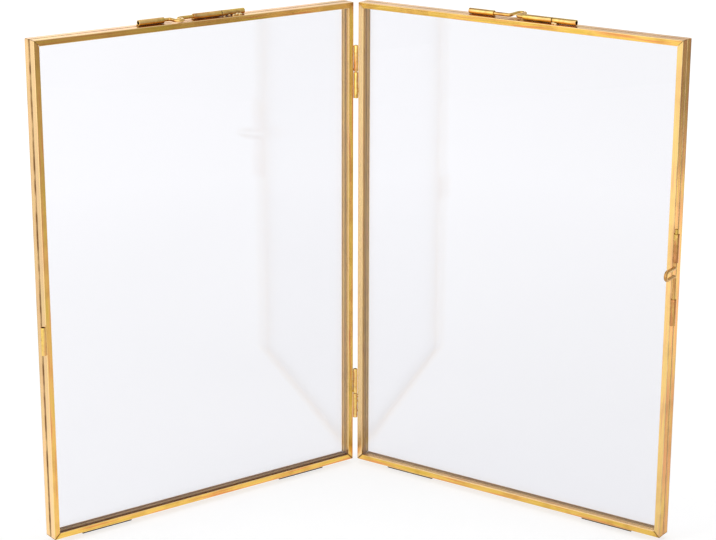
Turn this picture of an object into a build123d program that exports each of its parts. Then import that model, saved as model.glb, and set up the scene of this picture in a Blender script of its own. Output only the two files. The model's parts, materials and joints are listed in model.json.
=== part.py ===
from build123d import *
import math
import os

# Print and glass panes
print_width = 130.0
print_height = 180.0
print_margin = 0.4
pane_thickness = 2.0
pane_face_clearance = 0.05
pane_edge_clearance = 0.2

# Brass U channel round each pane, and the gap between the two halves of a leaf
channel_face = 2.2
channel_wall = 0.5
channel_round = 0.2
seam_gap = 0.4

# Angle between the leaves as they stand, and the gap between their faces when shut
opening_angle = 109.0
shut_gap = 0.2

# Fits and gaps shared by the hinges and the clasps
running_clearance = 0.05
barrel_clearance = 0.1
end_gap = 0.3

# Hinge barrels and their pins
hinge_pin_d = 1.0
hinge_pin_recess = 0.8
hinge_wall = 0.35
hinge_foot_width = 1.3
fold_knuckle_length = 10.1
upper_fold_inset = 26.8
lower_fold_inset = 28.0
bottom_knuckle_length = 10.2
bottom_hinge_inset = 23.5

# Clasp barrels and the wire pins with their finger loops
wire_d = 1.3
wire_end_chamfer = 0.3
bend_radius = 1.0
loop_width = 3.0
clasp_wall = 0.35
clasp_foot_width = 1.4
loop_clearance = 0.5

# How far the left and side pins rest from where they are fully withdrawn
left_pin_rest = 1.5
side_pin_rest = 0.7

# Top clasps, measured along the top edge from the left end of a leaf
left_clasp_start = 43.2
right_clasp_start = 47.3
short_guide_length = 10.5
top_loop_gap = 12.3
long_guide_length = 11.8
top_keeper_length = 9.6
top_keeper_bite = 1.2
top_tail_hold = 3.0
right_loop_reach = 7.75

# Side clasp, measured down the outer edge from the top of a leaf
side_clasp_start = 68.6
upper_guide_length = 10.4
side_loop_gap = 13.7
lower_guide_length = 9.7
side_keeper_length = 10.4
side_keeper_bite = 5.0
side_tail_stand = 1.8
side_loop_reach = 8.0

# Sizes that follow from those above
channel_depth = pane_thickness + 2 * (pane_face_clearance + channel_wall)
leaf_width = print_width + 2 * (print_margin + channel_face)
leaf_height = print_height + 2 * (print_margin + channel_face)
leaf_thickness = 2 * channel_depth + seam_gap
hinge_bore_d = hinge_pin_d + 2 * running_clearance
hinge_offset = hinge_bore_d / 2 + hinge_wall + barrel_clearance
clasp_bore_d = wire_d + 2 * running_clearance
clasp_radius = clasp_bore_d / 2 + clasp_wall
clasp_offset = clasp_radius + barrel_clearance
leg_stop = bend_radius + end_gap

# Each leaf is drawn with the fold axis at x = 0, y = 0, its front face towards -y and its rails' underside at z = 0
front_y = shut_gap / 2
seam_y = front_y + leaf_thickness / 2
face_foot_start = front_y + channel_round
seam_foot_start = seam_gap / 2 + channel_round
leaf_turn = (180.0 - opening_angle) / 2
leaf_start = {"left": -hinge_offset - leaf_width, "right": hinge_offset}
leaf_place = {"left": Rot(0, 0, leaf_turn), "right": Rot(0, 0, -leaf_turn)}
half_start = {"front": front_y, "back": front_y + channel_depth + seam_gap}
towards_half = {"front": (0, -1, 0), "back": (0, 1, 0)}
low_corner = (Align.MIN, Align.MIN, Align.MIN)

nodes = {}


# Stores one piece of a leaf, turned to where the leaf stands
def add(leaf, name, piece):
    nodes[name] = leaf_place[leaf] * piece


# Straight U channel along x, open side up, with both ends cut at 45 degrees
def mitred_channel(length):
    slot_width = channel_depth - 2 * channel_wall
    outside = Rectangle(channel_depth, channel_face, align=low_corner[:2])
    outside = fillet(outside.vertices().group_by(Axis.Y)[0], channel_round)
    slot = Pos(channel_wall, channel_wall) * Rectangle(slot_width, channel_face, align=low_corner[:2])
    bar = extrude(Plane.YZ * (outside - slot), length)
    inner_line = [(length - channel_face, channel_face), (channel_face, channel_face)]
    outline = make_face(Plane.XZ * Polyline((0, 0), (length, 0), *inner_line, close=True))
    return bar & extrude(outline, channel_depth, dir=(0, 1, 0))


# Tube with a solder foot: the foot leans to foot_side and sits on the rail, on the other side from away
def barrel(center, foot_side, away, length, bore_d, wall, foot_start, foot_width):
    radius = bore_d / 2 + wall
    seat = radius + barrel_clearance
    foot_base = [(foot_start, -seat), (foot_start + foot_width, -seat)]
    foot = make_face(Polyline((0, 0), *foot_base, (radius, 0), close=True))
    section = Circle(radius) + foot - Circle(bore_d / 2)
    plane = Plane(origin=center, x_dir=foot_side, z_dir=Vector(foot_side).cross(Vector(away)))
    return extrude(plane * section, length / 2, both=True)


def hinge_knuckle(center, foot_side, away, length, foot_start):
    return barrel(center, foot_side, away, length, hinge_bore_d, hinge_wall, foot_start, hinge_foot_width)


def clasp_barrel(center, foot_side, away, length, foot_start):
    return barrel(center, foot_side, away, length, clasp_bore_d, clasp_wall, foot_start, clasp_foot_width)


# Length of a hinge pin inside its two knuckles
def hinge_pin_length(knuckle_length):
    return 2 * knuckle_length + end_gap - 2 * hinge_pin_recess


# Bent wire: a straight tail, a hairpin loop standing out to loop_side, and a straight tip.
# The first leg of the loop is at the origin, and reach is to the outside of the loop.
def wire_pin(origin, along, loop_side, tail_length, tip_length, reach):
    top = reach - wire_d / 2
    crown = loop_width / 2
    cut = bend_radius * (1 - math.sqrt(0.5))
    far = loop_width + bend_radius
    line = [
        Line((-tail_length, 0), (-bend_radius, 0)),
        ThreePointArc((-bend_radius, 0), (-cut, cut), (0, bend_radius)),
        Line((0, bend_radius), (0, top - crown)),
        ThreePointArc((0, top - crown), (crown, top), (loop_width, top - crown)),
        Line((loop_width, top - crown), (loop_width, bend_radius)),
        ThreePointArc((loop_width, bend_radius), (loop_width + cut, cut), (far, 0)),
        Line((far, 0), (loop_width + tip_length, 0)),
    ]
    plane = Plane(origin=origin, x_dir=along, z_dir=Vector(along).cross(Vector(loop_side)))
    path = plane * Wire(line)
    round_section = Plane(origin=path @ 0, z_dir=path % 0) * Circle(wire_d / 2)
    wire = sweep(round_section, path)
    ends = wire.faces().filter_by(GeomType.PLANE)
    return chamfer(ends.edges(), wire_end_chamfer)


# Half-frames: four mitred rails and a pane each
def make_half_frame(leaf, half):
    x = leaf_start[leaf]
    y = half_start[half]
    far_x = x + leaf_width
    left_end, right_end = ("outer", "inner") if leaf == "left" else ("inner", "outer")
    rail_places = {
        "bottom": (leaf_width, Pos(x, y, 0)),
        "top": (leaf_width, Pos(far_x, y, leaf_height) * Rot(0, 180, 0)),
        left_end: (leaf_height, Pos(x, y, leaf_height) * Rot(0, 90, 0)),
        right_end: (leaf_height, Pos(far_x, y, 0) * Rot(0, -90, 0)),
    }
    for edge, (length, place) in rail_places.items():
        add(leaf, f"{leaf}_{half}_{edge}_rail", place * mitred_channel(length))
    inset = channel_wall + pane_edge_clearance
    pane = Box(leaf_width - 2 * inset, pane_thickness, leaf_height - 2 * inset, align=low_corner)
    pane_y = y + channel_wall + pane_face_clearance
    add(leaf, f"{leaf}_{half}_glass", Pos(x + inset, pane_y, inset) * pane)


# Fold hinges on the inner edges, the left leaf's knuckle over the right leaf's
def make_fold_hinge(name, z):
    step = (fold_knuckle_length + end_gap) / 2
    for leaf, away, shift in (("left", (1, 0, 0), step), ("right", (-1, 0, 0), -step)):
        center = (0, 0, z + shift)
        knuckle = hinge_knuckle(center, towards_half["back"], away, fold_knuckle_length, face_foot_start)
        add(leaf, f"fold_{name}_{leaf}_knuckle", knuckle)
    pin = Cylinder(hinge_pin_d / 2, hinge_pin_length(fold_knuckle_length))
    add("left", f"fold_{name}_pin", Pos(0, 0, z) * pin)


# Bottom hinges under the seam between the two halves of a leaf, which stands on them
def make_bottom_hinge(leaf, name, x):
    step = (bottom_knuckle_length + end_gap) / 2
    for half, shift in (("front", -step), ("back", step)):
        center = (x + shift, seam_y, -hinge_offset)
        side = towards_half[half]
        knuckle = hinge_knuckle(center, side, (0, 0, -1), bottom_knuckle_length, seam_foot_start)
        add(leaf, f"{leaf}_bottom_{name}_{half}_knuckle", knuckle)
    pin = Cylinder(hinge_pin_d / 2, hinge_pin_length(bottom_knuckle_length))
    add(leaf, f"{leaf}_bottom_{name}_pin", Pos(x, seam_y, -hinge_offset) * Rot(0, 90, 0) * pin)


# Places along a clasp, from the outer end of its first guide: first guide, loop gap, second guide, keeper
def clasp_stations(first_length, loop_gap, second_length, keeper_length, bite):
    second_start = first_length + loop_gap
    keeper_start = second_start + second_length + end_gap
    home_leg = second_start - leg_stop - loop_width
    return {
        "first": first_length / 2,
        "second": second_start + second_length / 2,
        "keeper": keeper_start + keeper_length / 2,
        "home_leg": home_leg,
        "travel": loop_gap - loop_width - 2 * leg_stop,
        "tip_length": keeper_start + bite - home_leg - loop_width,
    }


# Top clasp: two guides on the back half, a keeper on the front half and the wire pin that slides into it
def make_top_clasp(leaf, clasp_start, withdrawn, loop_half, reach):
    start = leaf_start[leaf] + clasp_start
    z = leaf_height + clasp_offset
    barrels = {
        "short_guide": ("first", short_guide_length, "back"),
        "long_guide": ("second", long_guide_length, "back"),
        "keeper": ("keeper", top_keeper_length, "front"),
    }
    for name, (station, length, half) in barrels.items():
        center = (start + top_stations[station], seam_y, z)
        piece = clasp_barrel(center, towards_half[half], (0, 0, 1), length, seam_foot_start)
        add(leaf, f"{leaf}_clasp_{name}", piece)
    leg = (start + top_stations["home_leg"] - withdrawn, seam_y, z)
    tail = top_stations["home_leg"] - short_guide_length + top_tail_hold
    pin = wire_pin(leg, (1, 0, 0), towards_half[loop_half], tail, top_stations["tip_length"], reach)
    add(leaf, f"{leaf}_clasp_pin", pin)


# Side clasp: two guides and the wire pin on the right leaf, and a keeper on the left leaf
def make_side_clasp(withdrawn):
    top = leaf_height - side_clasp_start
    x = hinge_offset + leaf_width + clasp_offset
    barrels = {
        "upper_guide": ("first", upper_guide_length, "right", 1),
        "lower_guide": ("second", lower_guide_length, "right", 1),
        "keeper": ("keeper", side_keeper_length, "left", -1),
    }
    for name, (station, length, leaf, way) in barrels.items():
        center = (way * x, 0, top - side_stations[station])
        piece = clasp_barrel(center, towards_half["back"], (way, 0, 0), length, face_foot_start)
        add(leaf, f"side_clasp_{name}", piece)
    leg = side_stations["home_leg"] - withdrawn
    origin = (x, 0, top - leg)
    tail = leg + side_tail_stand
    pin = wire_pin(origin, (0, 0, -1), towards_half["front"], tail, side_stations["tip_length"], side_loop_reach)
    add("right", "side_clasp_pin", pin)


for leaf in leaf_start:
    for half in half_start:
        make_half_frame(leaf, half)

make_fold_hinge("upper", leaf_height - upper_fold_inset)
make_fold_hinge("lower", lower_fold_inset)

for leaf, start in leaf_start.items():
    left_end, right_end = ("outer", "inner") if leaf == "left" else ("inner", "outer")
    make_bottom_hinge(leaf, left_end, start + bottom_hinge_inset)
    make_bottom_hinge(leaf, right_end, start + leaf_width - bottom_hinge_inset)

# The left pin rests well withdrawn, the right one with its tip level with the end of its long guide
top_stations = clasp_stations(short_guide_length, top_loop_gap, long_guide_length, top_keeper_length, top_keeper_bite)
left_withdrawn = top_stations["travel"] - left_pin_rest
right_withdrawn = top_keeper_bite + end_gap
left_loop_reach = leaf_thickness + shut_gap - clasp_radius - loop_clearance
make_top_clasp("left", left_clasp_start, left_withdrawn, "front", left_loop_reach)
make_top_clasp("right", right_clasp_start, right_withdrawn, "back", right_loop_reach)

# The side pin rests raised, with its tip inside the lower guide
side_stations = clasp_stations(
    upper_guide_length, side_loop_gap, lower_guide_length, side_keeper_length, side_keeper_bite
)
side_withdrawn = side_stations["travel"] - side_pin_rest
make_side_clasp(side_withdrawn)

# The origin is the middle of the whole frame's footprint, at the height it stands on
boxes = [piece.bounding_box() for piece in nodes.values()]
low = [min(getattr(box.min, axis) for box in boxes) for axis in "XYZ"]
high = [max(getattr(box.max, axis) for box in boxes) for axis in "XYZ"]
stand = Pos(-(low[0] + high[0]) / 2, -(low[1] + high[1]) / 2, -low[2])

os.makedirs("parts", exist_ok=True)
for name, piece in nodes.items():
    export_step(stand * piece, f"parts/{name}.step")


# World place of a point given in a leaf's own frame, for the joint list
def world(leaf, x, y, z):
    spot = (stand * leaf_place[leaf] * Pos(x, y, z)).position
    return [round(value, 4) for value in spot]


print("nodes", len(nodes))
print("size", [round(h - l, 3) for h, l in zip(high, low)])
print("fold axis", world("left", 0, 0, 0))
for leaf, start in leaf_start.items():
    print(leaf, "bottom hinge axis", world(leaf, start, seam_y, -hinge_offset), "turn", leaf_turn)
    print(leaf, "back face", world(leaf, start + leaf_width / 2, front_y + leaf_thickness, channel_face / 2))
print("top pin travel", top_stations["travel"], "left withdrawn", left_withdrawn, "right withdrawn", right_withdrawn)
print("side pin travel", side_stations["travel"], "withdrawn", side_withdrawn)
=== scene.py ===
import json
import math

import bmesh
import bpy
import numpy as np
from mathutils import Matrix, Vector

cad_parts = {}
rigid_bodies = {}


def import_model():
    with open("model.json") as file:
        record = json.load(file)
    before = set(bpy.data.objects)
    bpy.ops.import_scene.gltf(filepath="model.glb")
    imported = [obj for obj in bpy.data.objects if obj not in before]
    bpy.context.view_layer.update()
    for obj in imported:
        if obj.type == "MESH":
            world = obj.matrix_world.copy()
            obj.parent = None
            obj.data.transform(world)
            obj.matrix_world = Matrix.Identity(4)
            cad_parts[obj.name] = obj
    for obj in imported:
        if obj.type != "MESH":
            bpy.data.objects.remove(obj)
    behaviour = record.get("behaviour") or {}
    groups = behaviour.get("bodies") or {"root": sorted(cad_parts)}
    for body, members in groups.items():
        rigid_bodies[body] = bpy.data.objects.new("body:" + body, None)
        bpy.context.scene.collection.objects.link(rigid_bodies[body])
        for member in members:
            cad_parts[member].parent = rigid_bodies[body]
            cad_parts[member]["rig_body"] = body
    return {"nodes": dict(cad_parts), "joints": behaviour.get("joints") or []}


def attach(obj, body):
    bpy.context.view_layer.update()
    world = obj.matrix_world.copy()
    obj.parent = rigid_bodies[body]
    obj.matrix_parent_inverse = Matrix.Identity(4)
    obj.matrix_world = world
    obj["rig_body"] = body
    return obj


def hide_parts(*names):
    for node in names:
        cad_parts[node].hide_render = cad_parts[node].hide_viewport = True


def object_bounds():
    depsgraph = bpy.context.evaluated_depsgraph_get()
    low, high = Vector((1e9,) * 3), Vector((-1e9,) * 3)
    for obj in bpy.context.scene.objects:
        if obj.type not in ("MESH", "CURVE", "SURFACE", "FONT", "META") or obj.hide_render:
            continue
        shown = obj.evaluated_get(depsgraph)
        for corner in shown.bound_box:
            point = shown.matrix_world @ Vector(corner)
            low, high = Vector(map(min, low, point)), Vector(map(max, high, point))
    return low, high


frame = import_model()
cadLow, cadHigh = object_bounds()
scene = bpy.context.scene
mm = 0.001

joints = {joint["name"]: joint for joint in frame["joints"]}
nodeBody = {name: node["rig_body"] for name, node in frame["nodes"].items()}
nodeNames = sorted(frame["nodes"])

# each leaf is drawn in millimetres in its own frame: x along it, y towards its back, z up from the table
leafPlace = {}
up = Vector((0, 0, 1))
foldX, foldY = joints["fold"]["pos_m"][:2]
for leaf in ("left", "right"):
    along = -Vector(joints[f"{leaf}_back_hinge"]["axis"]).normalized()
    turned = Matrix((along, up.cross(along), up)).transposed().to_4x4()
    leafPlace[leaf] = Matrix.Translation((foldX, foldY, 0)) @ turned @ Matrix.Scale(mm, 4)


def leafOf(node):
    return "left" if nodeBody[node].startswith("left") else "right"


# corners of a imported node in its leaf's own frame, in millimetres
def localPoints(node):
    inverse = leafPlace[leafOf(node)].inverted()
    return np.array([inverse @ vertex.co for vertex in frame["nodes"][node].data.vertices])


def localBox(node):
    points = localPoints(node)
    return Vector(points.min(0)), Vector(points.max(0))


# sRGB hex to linear
def hexColor(text):
    values = [int(text[i : i + 2], 16) / 255 for i in (1, 3, 5)]
    return [v / 12.92 if v <= 0.04045 else ((v + 0.055) / 1.055) ** 2.4 for v in values] + [1.0]


# adds a node with its settings; an input is a value or a socket to link from
def addNode(tree, kind, inputs=None, **settings):
    node = tree.nodes.new(kind)
    for name, value in settings.items():
        setattr(node, name, value)
    for key, value in (inputs or {}).items():
        if isinstance(value, bpy.types.NodeSocket):
            tree.links.new(value, node.inputs[key])
        else:
            node.inputs[key].default_value = value
    return node


# starts a geometry tree with named inputs for its sizes and its finish
def startTree(name, sizes):
    tree = bpy.data.node_groups.new(name, "GeometryNodeTree")
    tree.interface.new_socket("Geometry", in_out="INPUT", socket_type="NodeSocketGeometry")
    for label in sizes:
        kind = "NodeSocketInt" if label in ("Steps", "Sides", "Seed") else "NodeSocketFloat"
        tree.interface.new_socket(label, in_out="INPUT", socket_type=kind)
    tree.interface.new_socket("Finish", in_out="INPUT", socket_type="NodeSocketMaterial")
    tree.interface.new_socket("Geometry", in_out="OUTPUT", socket_type="NodeSocketGeometry")
    return tree, addNode(tree, "NodeGroupInput").outputs


def endTree(tree, given, geometry):
    whole = addNode(tree, "GeometryNodeRealizeInstances", {"Geometry": geometry}).outputs[0]
    dressed = addNode(tree, "GeometryNodeSetMaterial", {"Geometry": whole, "Material": given["Finish"]})
    addNode(tree, "NodeGroupOutput", {"Geometry": dressed.outputs[0]})
    return tree


# runs a tree on a starting mesh and gives back a plain mesh
def growMesh(tree, start, sizes):
    holder = bpy.data.objects.new("holder", start)
    scene.collection.objects.link(holder)
    modifier = holder.modifiers.new("grow", "NODES")
    modifier.node_group = tree
    for item in tree.interface.items_tree:
        if item.in_out == "INPUT" and item.name in sizes:
            modifier[item.identifier] = sizes[item.name]
    depsgraph = bpy.context.evaluated_depsgraph_get()
    mesh = bpy.data.meshes.new_from_object(
        holder.evaluated_get(depsgraph), preserve_all_data_layers=True, depsgraph=depsgraph
    )
    bpy.data.objects.remove(holder)
    return mesh


# stores how far a layer of the finish shows at each point
def addShare(mesh, name, values):
    layer = mesh.attributes.get(name) or mesh.attributes.new(name, "FLOAT", "POINT")
    layer.data.foreach_set("value", np.asarray(values, dtype=np.float32))


# places a mesh, closes it, points its faces outwards and lets it ride on its body
def makePiece(name, mesh, place, body, slot, *nodes):
    mesh.transform(place)
    shell = bmesh.new()
    shell.from_mesh(mesh)
    bmesh.ops.remove_doubles(shell, verts=shell.verts, dist=0.0005 * mm)
    bmesh.ops.recalc_face_normals(shell, faces=shell.faces)
    shell.to_mesh(mesh)
    shell.free()
    mesh.shade_smooth()
    mesh.set_sharp_from_angle(angle=math.radians(40))
    piece = bpy.data.objects.new(name, mesh)
    scene.collection.objects.link(piece)
    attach(piece, body)
    if nodes:
        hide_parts(*nodes)
    return piece


# drawn and rolled brass, lightly polished: warm yellow metal with lines along the pull, streaks of redder
# and greener gold, paler edges that are partly wear and partly painted highlight, brown stain round soldered
# places, and a dull brown film where no cloth reaches; stain and film also paint shade along the seams,
# and the film paints shade on the barrels under the bottom rails
def brassFinish(name, look):
    material = bpy.data.materials.new(name)
    material.use_nodes = True
    tree = material.node_tree
    tree.nodes.clear()
    drawn = addNode(tree, "ShaderNodeAttribute", attribute_name="drawn").outputs["Vector"]
    wearAndSheen, scorchAndShade, inside, web, mitre = (
        addNode(tree, "ShaderNodeAttribute", attribute_name=share).outputs["Fac"]
        for share in ("wearAndSheen", "scorchAndShade", "inside", "web", "mitre")
    )
    lineScale = (1 / look["lineLength"], 1 / look["lineWidth"], 1)
    lineSpace = addNode(tree, "ShaderNodeMapping", {"Vector": drawn, "Scale": lineScale}).outputs[0]
    lines = addNode(tree, "ShaderNodeTexNoise", {"Vector": lineSpace, "Scale": 1, "Detail": 2}).outputs[0]
    streakScale = (1 / look["streakLength"], 1 / look["streakWidth"], 1)
    streakSpace = addNode(tree, "ShaderNodeMapping", {"Vector": drawn, "Scale": streakScale}).outputs[0]
    streaks = addNode(
        tree, "ShaderNodeTexNoise", {"Vector": streakSpace, "Scale": 1, "Detail": 1}
    ).outputs[0]
    place = addNode(tree, "ShaderNodeTexCoord").outputs["Object"]
    mottle = addNode(
        tree, "ShaderNodeTexNoise", {"Vector": place, "Scale": 1 / (look["mottle"] * mm), "Detail": 3}
    ).outputs[0]
    patchy = addNode(tree, "ShaderNodeMapRange", {0: mottle, 1: 0.35, 2: 0.6, 3: 0.25}).outputs[0]
    # heat stain round solder, and painted shade along the rails' seams
    stainAndShadeShare = addNode(tree, "ShaderNodeMath", {0: scorchAndShade, 1: patchy}, operation="MULTIPLY").outputs[0]
    # the webs were heated when the strip was folded, so they are rosier
    rosy = addNode(tree, "ShaderNodeMapRange", {0: streaks, 1: 0.5, 2: 0.68}).outputs[0]
    blush = addNode(tree, "ShaderNodeMapRange", {0: streaks, 1: 0.35, 2: 0.65, 3: 0.35, 4: 1.0}).outputs[0]
    blush = addNode(tree, "ShaderNodeMath", {0: blush, 1: web}, operation="MULTIPLY").outputs[0]
    rosy = addNode(tree, "ShaderNodeMath", {0: rosy, 1: blush}, operation="MAXIMUM").outputs[0]
    # old flux is left within half a millimetre of the mitres
    flux = addNode(
        tree, "ShaderNodeMapRange", {0: mitre, 1: 0.1, 2: 0.45, 3: look["flux"], 4: 0.0}
    ).outputs[0]
    inside = addNode(tree, "ShaderNodeMath", {0: inside, 1: flux}, operation="MAXIMUM").outputs[0]
    layers = {
        "rosy": rosy,
        "green": addNode(tree, "ShaderNodeMapRange", {0: streaks, 1: 0.5, 2: 0.34}).outputs[0],
        "dull": addNode(tree, "ShaderNodeMapRange", {0: mottle, 1: 0.48, 2: 0.75, 4: 0.6}).outputs[0],
        # pale layer: wear on the rounded edges, with painted highlight there and on the faces and webs drawn
        # pale
        "wornAndSheen": wearAndSheen,
        "stainAndShade": stainAndShadeShare,
        "filmAndShade": inside,
    }
    tone = hexColor(look["body"])
    for layer, share in layers.items():
        tone = addNode(
            tree, "ShaderNodeMix", {0: share, 6: tone, 7: hexColor(look[layer])}, data_type="RGBA"
        ).outputs[2]
    gloss = addNode(
        tree,
        "ShaderNodeMapRange",
        {0: lines, 1: 0.3, 2: 0.7, 3: look["roughness"] - 0.06, 4: look["roughness"] + 0.08},
    ).outputs[0]
    # stain, film and the shade they paint also make the surface rougher
    grimeAndShade = addNode(tree, "ShaderNodeMath", {0: stainAndShadeShare, 1: 0.3}, operation="MULTIPLY").outputs[0]
    grimeAndShade = addNode(tree, "ShaderNodeMath", {0: grimeAndShade, 1: inside}, operation="MAXIMUM").outputs[0]
    gloss = addNode(
        tree, "ShaderNodeMath", {0: grimeAndShade, 1: 0.6, 2: gloss}, operation="MULTIPLY_ADD"
    ).outputs[0]
    # the film is dry dirt, and on the seams and the barrels under the bottom rails it is painted shade;
    # either way bare metal gives way to a matt surface without gloss under it
    bare = addNode(tree, "ShaderNodeMapRange", {0: inside, 3: 1.0, 4: 0.15}).outputs[0]
    height = addNode(
        tree, "ShaderNodeMath", {0: mottle, 1: look["pits"], 2: lines}, operation="MULTIPLY_ADD"
    ).outputs[0]
    bump = addNode(
        tree, "ShaderNodeBump", {"Strength": 1, "Distance": look["lineDepth"] * mm, "Height": height}
    )
    surface = addNode(
        tree,
        "ShaderNodeBsdfPrincipled",
        {
            "Base Color": tone,
            "Metallic": bare,
            "Roughness": gloss,
            "Specular IOR Level": 0.0,
            "Normal": bump.outputs[0],
        },
    )
    addNode(tree, "ShaderNodeOutputMaterial", {"Surface": surface.outputs[0]})
    return material


# the real draw lines are about 0.1 mm wide; they are drawn wider here so that they show
channelLook = {
    "body": "#EEC364", "rosy": "#E2985A", "green": "#DEB650", "dull": "#C48E44", "wornAndSheen": "#F8D8A4",
    "stainAndShade": "#7A4E1E", "filmAndShade": "#7E4E1C", "flux": 0.5, "roughness": 0.22,
    "lineLength": 40.0, "lineWidth": 0.5, "lineDepth": 0.006, "pits": 0.3,
    "streakLength": 20.0, "streakWidth": 1.0, "mottle": 7.0,
}
barrelLook = {
    "body": "#F0CE82", "rosy": "#D0925C", "green": "#E4C266", "dull": "#C08C48", "wornAndSheen": "#F8E0A6",
    "stainAndShade": "#6E4519", "filmAndShade": "#2E1C0A", "flux": 0.0, "roughness": 0.17,
    "lineLength": 40.0, "lineWidth": 0.5, "lineDepth": 0.005, "pits": 0.5,
    "streakLength": 14.0, "streakWidth": 1.6, "mottle": 1.6,
}
wireLook = {
    "body": "#E8C074", "rosy": "#C88E58", "green": "#D4B058", "dull": "#B98A48", "wornAndSheen": "#F8E0A6",
    "stainAndShade": "#6E4519", "filmAndShade": "#6A4A22", "flux": 0.0, "roughness": 0.17,
    "lineLength": 30.0, "lineWidth": 0.4, "lineDepth": 0.005, "pits": 0.4,
    "streakLength": 10.0, "streakWidth": 1.8, "mottle": 2.2,
}
# soft solder, gilded with the rest: paler and lumpier than the brass
solderLook = {
    "body": "#F4DDAE", "rosy": "#EAC892", "green": "#E4CE94", "dull": "#CFA86C", "wornAndSheen": "#F8E4B8",
    "stainAndShade": "#7A5526", "filmAndShade": "#6A4A22", "flux": 0.0, "roughness": 0.24,
    "lineLength": 2.0, "lineWidth": 2.0, "lineDepth": 0.012, "pits": 1.0,
    "streakLength": 4.0, "streakWidth": 4.0, "mottle": 0.9,
}
channelBrass = brassFinish("drawnChannelBrass", channelLook)
barrelBrass = brassFinish("rolledTubeBrass", barrelLook)
wireBrass = brassFinish("drawnWireBrass", wireLook)
solderFinish = brassFinish("gildedSoftSolder", solderLook)

glassLook = {"tint": "#FBFBFD", "shade": "#F4F4F8", "smudge": 28.0, "ripple": 45.0, "rippleDepth": 0.0006}


# clear float glass: nearly invisible face on, with faint wiped smears and a slow ripple in what it mirrors
def glassFinish(name, look):
    material = bpy.data.materials.new(name)
    material.use_nodes = True
    tree = material.node_tree
    tree.nodes.clear()
    place = addNode(tree, "ShaderNodeTexCoord").outputs["Object"]
    smear = addNode(
        tree, "ShaderNodeTexNoise", {"Vector": place, "Scale": 1 / (look["smudge"] * mm), "Detail": 4}
    ).outputs[0]
    haze = addNode(tree, "ShaderNodeMapRange", {0: smear, 1: 0.45, 2: 0.8, 4: 0.03}).outputs[0]
    wave = addNode(
        tree, "ShaderNodeTexNoise", {"Vector": place, "Scale": 1 / (look["ripple"] * mm), "Detail": 0}
    ).outputs[0]
    bump = addNode(
        tree, "ShaderNodeBump", {"Strength": 1, "Distance": look["rippleDepth"] * mm, "Height": wave}
    )
    pane = addNode(
        tree,
        "ShaderNodeBsdfPrincipled",
        {
            "Base Color": hexColor(look["tint"]),
            "Roughness": haze,
            "IOR": 1.5,
            "Specular IOR Level": 0.12,
            "Transmission Weight": 1.0,
            "Normal": bump.outputs[0],
        },
    )
    # light that only passes through is dimmed a little, without the dark shadow of solid glass
    passed = addNode(tree, "ShaderNodeBsdfTransparent", {"Color": hexColor(look["shade"])})
    path = addNode(tree, "ShaderNodeLightPath").outputs["Is Shadow Ray"]
    mixed = addNode(tree, "ShaderNodeMixShader", {0: path, 1: pane.outputs[0], 2: passed.outputs[0]})
    addNode(tree, "ShaderNodeOutputMaterial", {"Surface": mixed.outputs[0]})
    return material


floatGlass = glassFinish("clearFloatGlass", glassLook)
print("finishes mixed")

# sizes in mm; the slot film, the seam's painted shade and webRose serve the rails that the lists below leave
# out
channel = {
    "wall": 0.5, "round": 0.2, "lip": 0.1, "guard": 0.05, "bed": 0.2, "crease": 0.25, "mitreGap": 0.1,
    "waviness": 0.02, "wavesPerMm": 0.06, "step": 2.5, "scorchAndShade": 0.7, "heatSpread": 1.3,
    "wornAndSheen": 0.7, "dirtAndShade": 0.4, "slotFilm": 0.05, "seamShade": 0.35,
    "slotRose": 0.4, "seamRose": 0.9, "webRose": 0.8,
}
# how brown the beds of the slots are: most in the bottom rails, where dust and flux settle
slotFilm = {
    "left_front_bottom": 1.0, "left_back_bottom": 0.9, "right_front_bottom": 0.0, "right_back_bottom": 0.7,
    "left_back_inner": 0.1, "right_front_inner": 0.22, "right_back_inner": 0.25,
}
# how dark brown the seam between the halves is painted: painted shade in the narrow gap between them
seamShade = {
    "left_front_outer": 0.08, "left_back_outer": 0.08, "right_front_outer": 0.1, "right_back_outer": 0.1,
}
# how pale the faces and the outer webs are drawn: a painted highlight
faceHighlight = {"left_front_outer": 0.1, "right_front_inner": 0.8, "right_front_outer": 0.4}
webHighlight = {"left_front_outer": 0.65, "left_back_outer": 0.55}
# how rosy the heat of folding left the faces and each web
faceRose = {"left_front_top": 0.5, "left_front_outer": 0.5}
webRose = {"right_front_outer": 1.0, "right_back_outer": 1.0}
# how brown the web is drawn along its outer edge and along the seam; along the seam it is painted shade
webBrownAndShade = {
    "left_front_outer": (0.0, 0.7), "left_back_outer": (0.3, 0.9),
    "right_front_outer": (0.35, 0.0), "right_back_outer": (0.5, 0.3),
    "left_front_top": (0.0, 0.3), "left_back_top": (0.5, 0.4),
    "right_front_top": (0.0, 0.3), "right_back_top": (0.5, 0.4),
}


# points of a rounded corner from one angle to another, in degrees
def arcPoints(center, radius, first, last, count):
    angles = np.radians(np.linspace(first, last, count))
    return [(center[0] + radius * math.cos(a), center[1] + radius * math.sin(a)) for a in angles]


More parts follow.
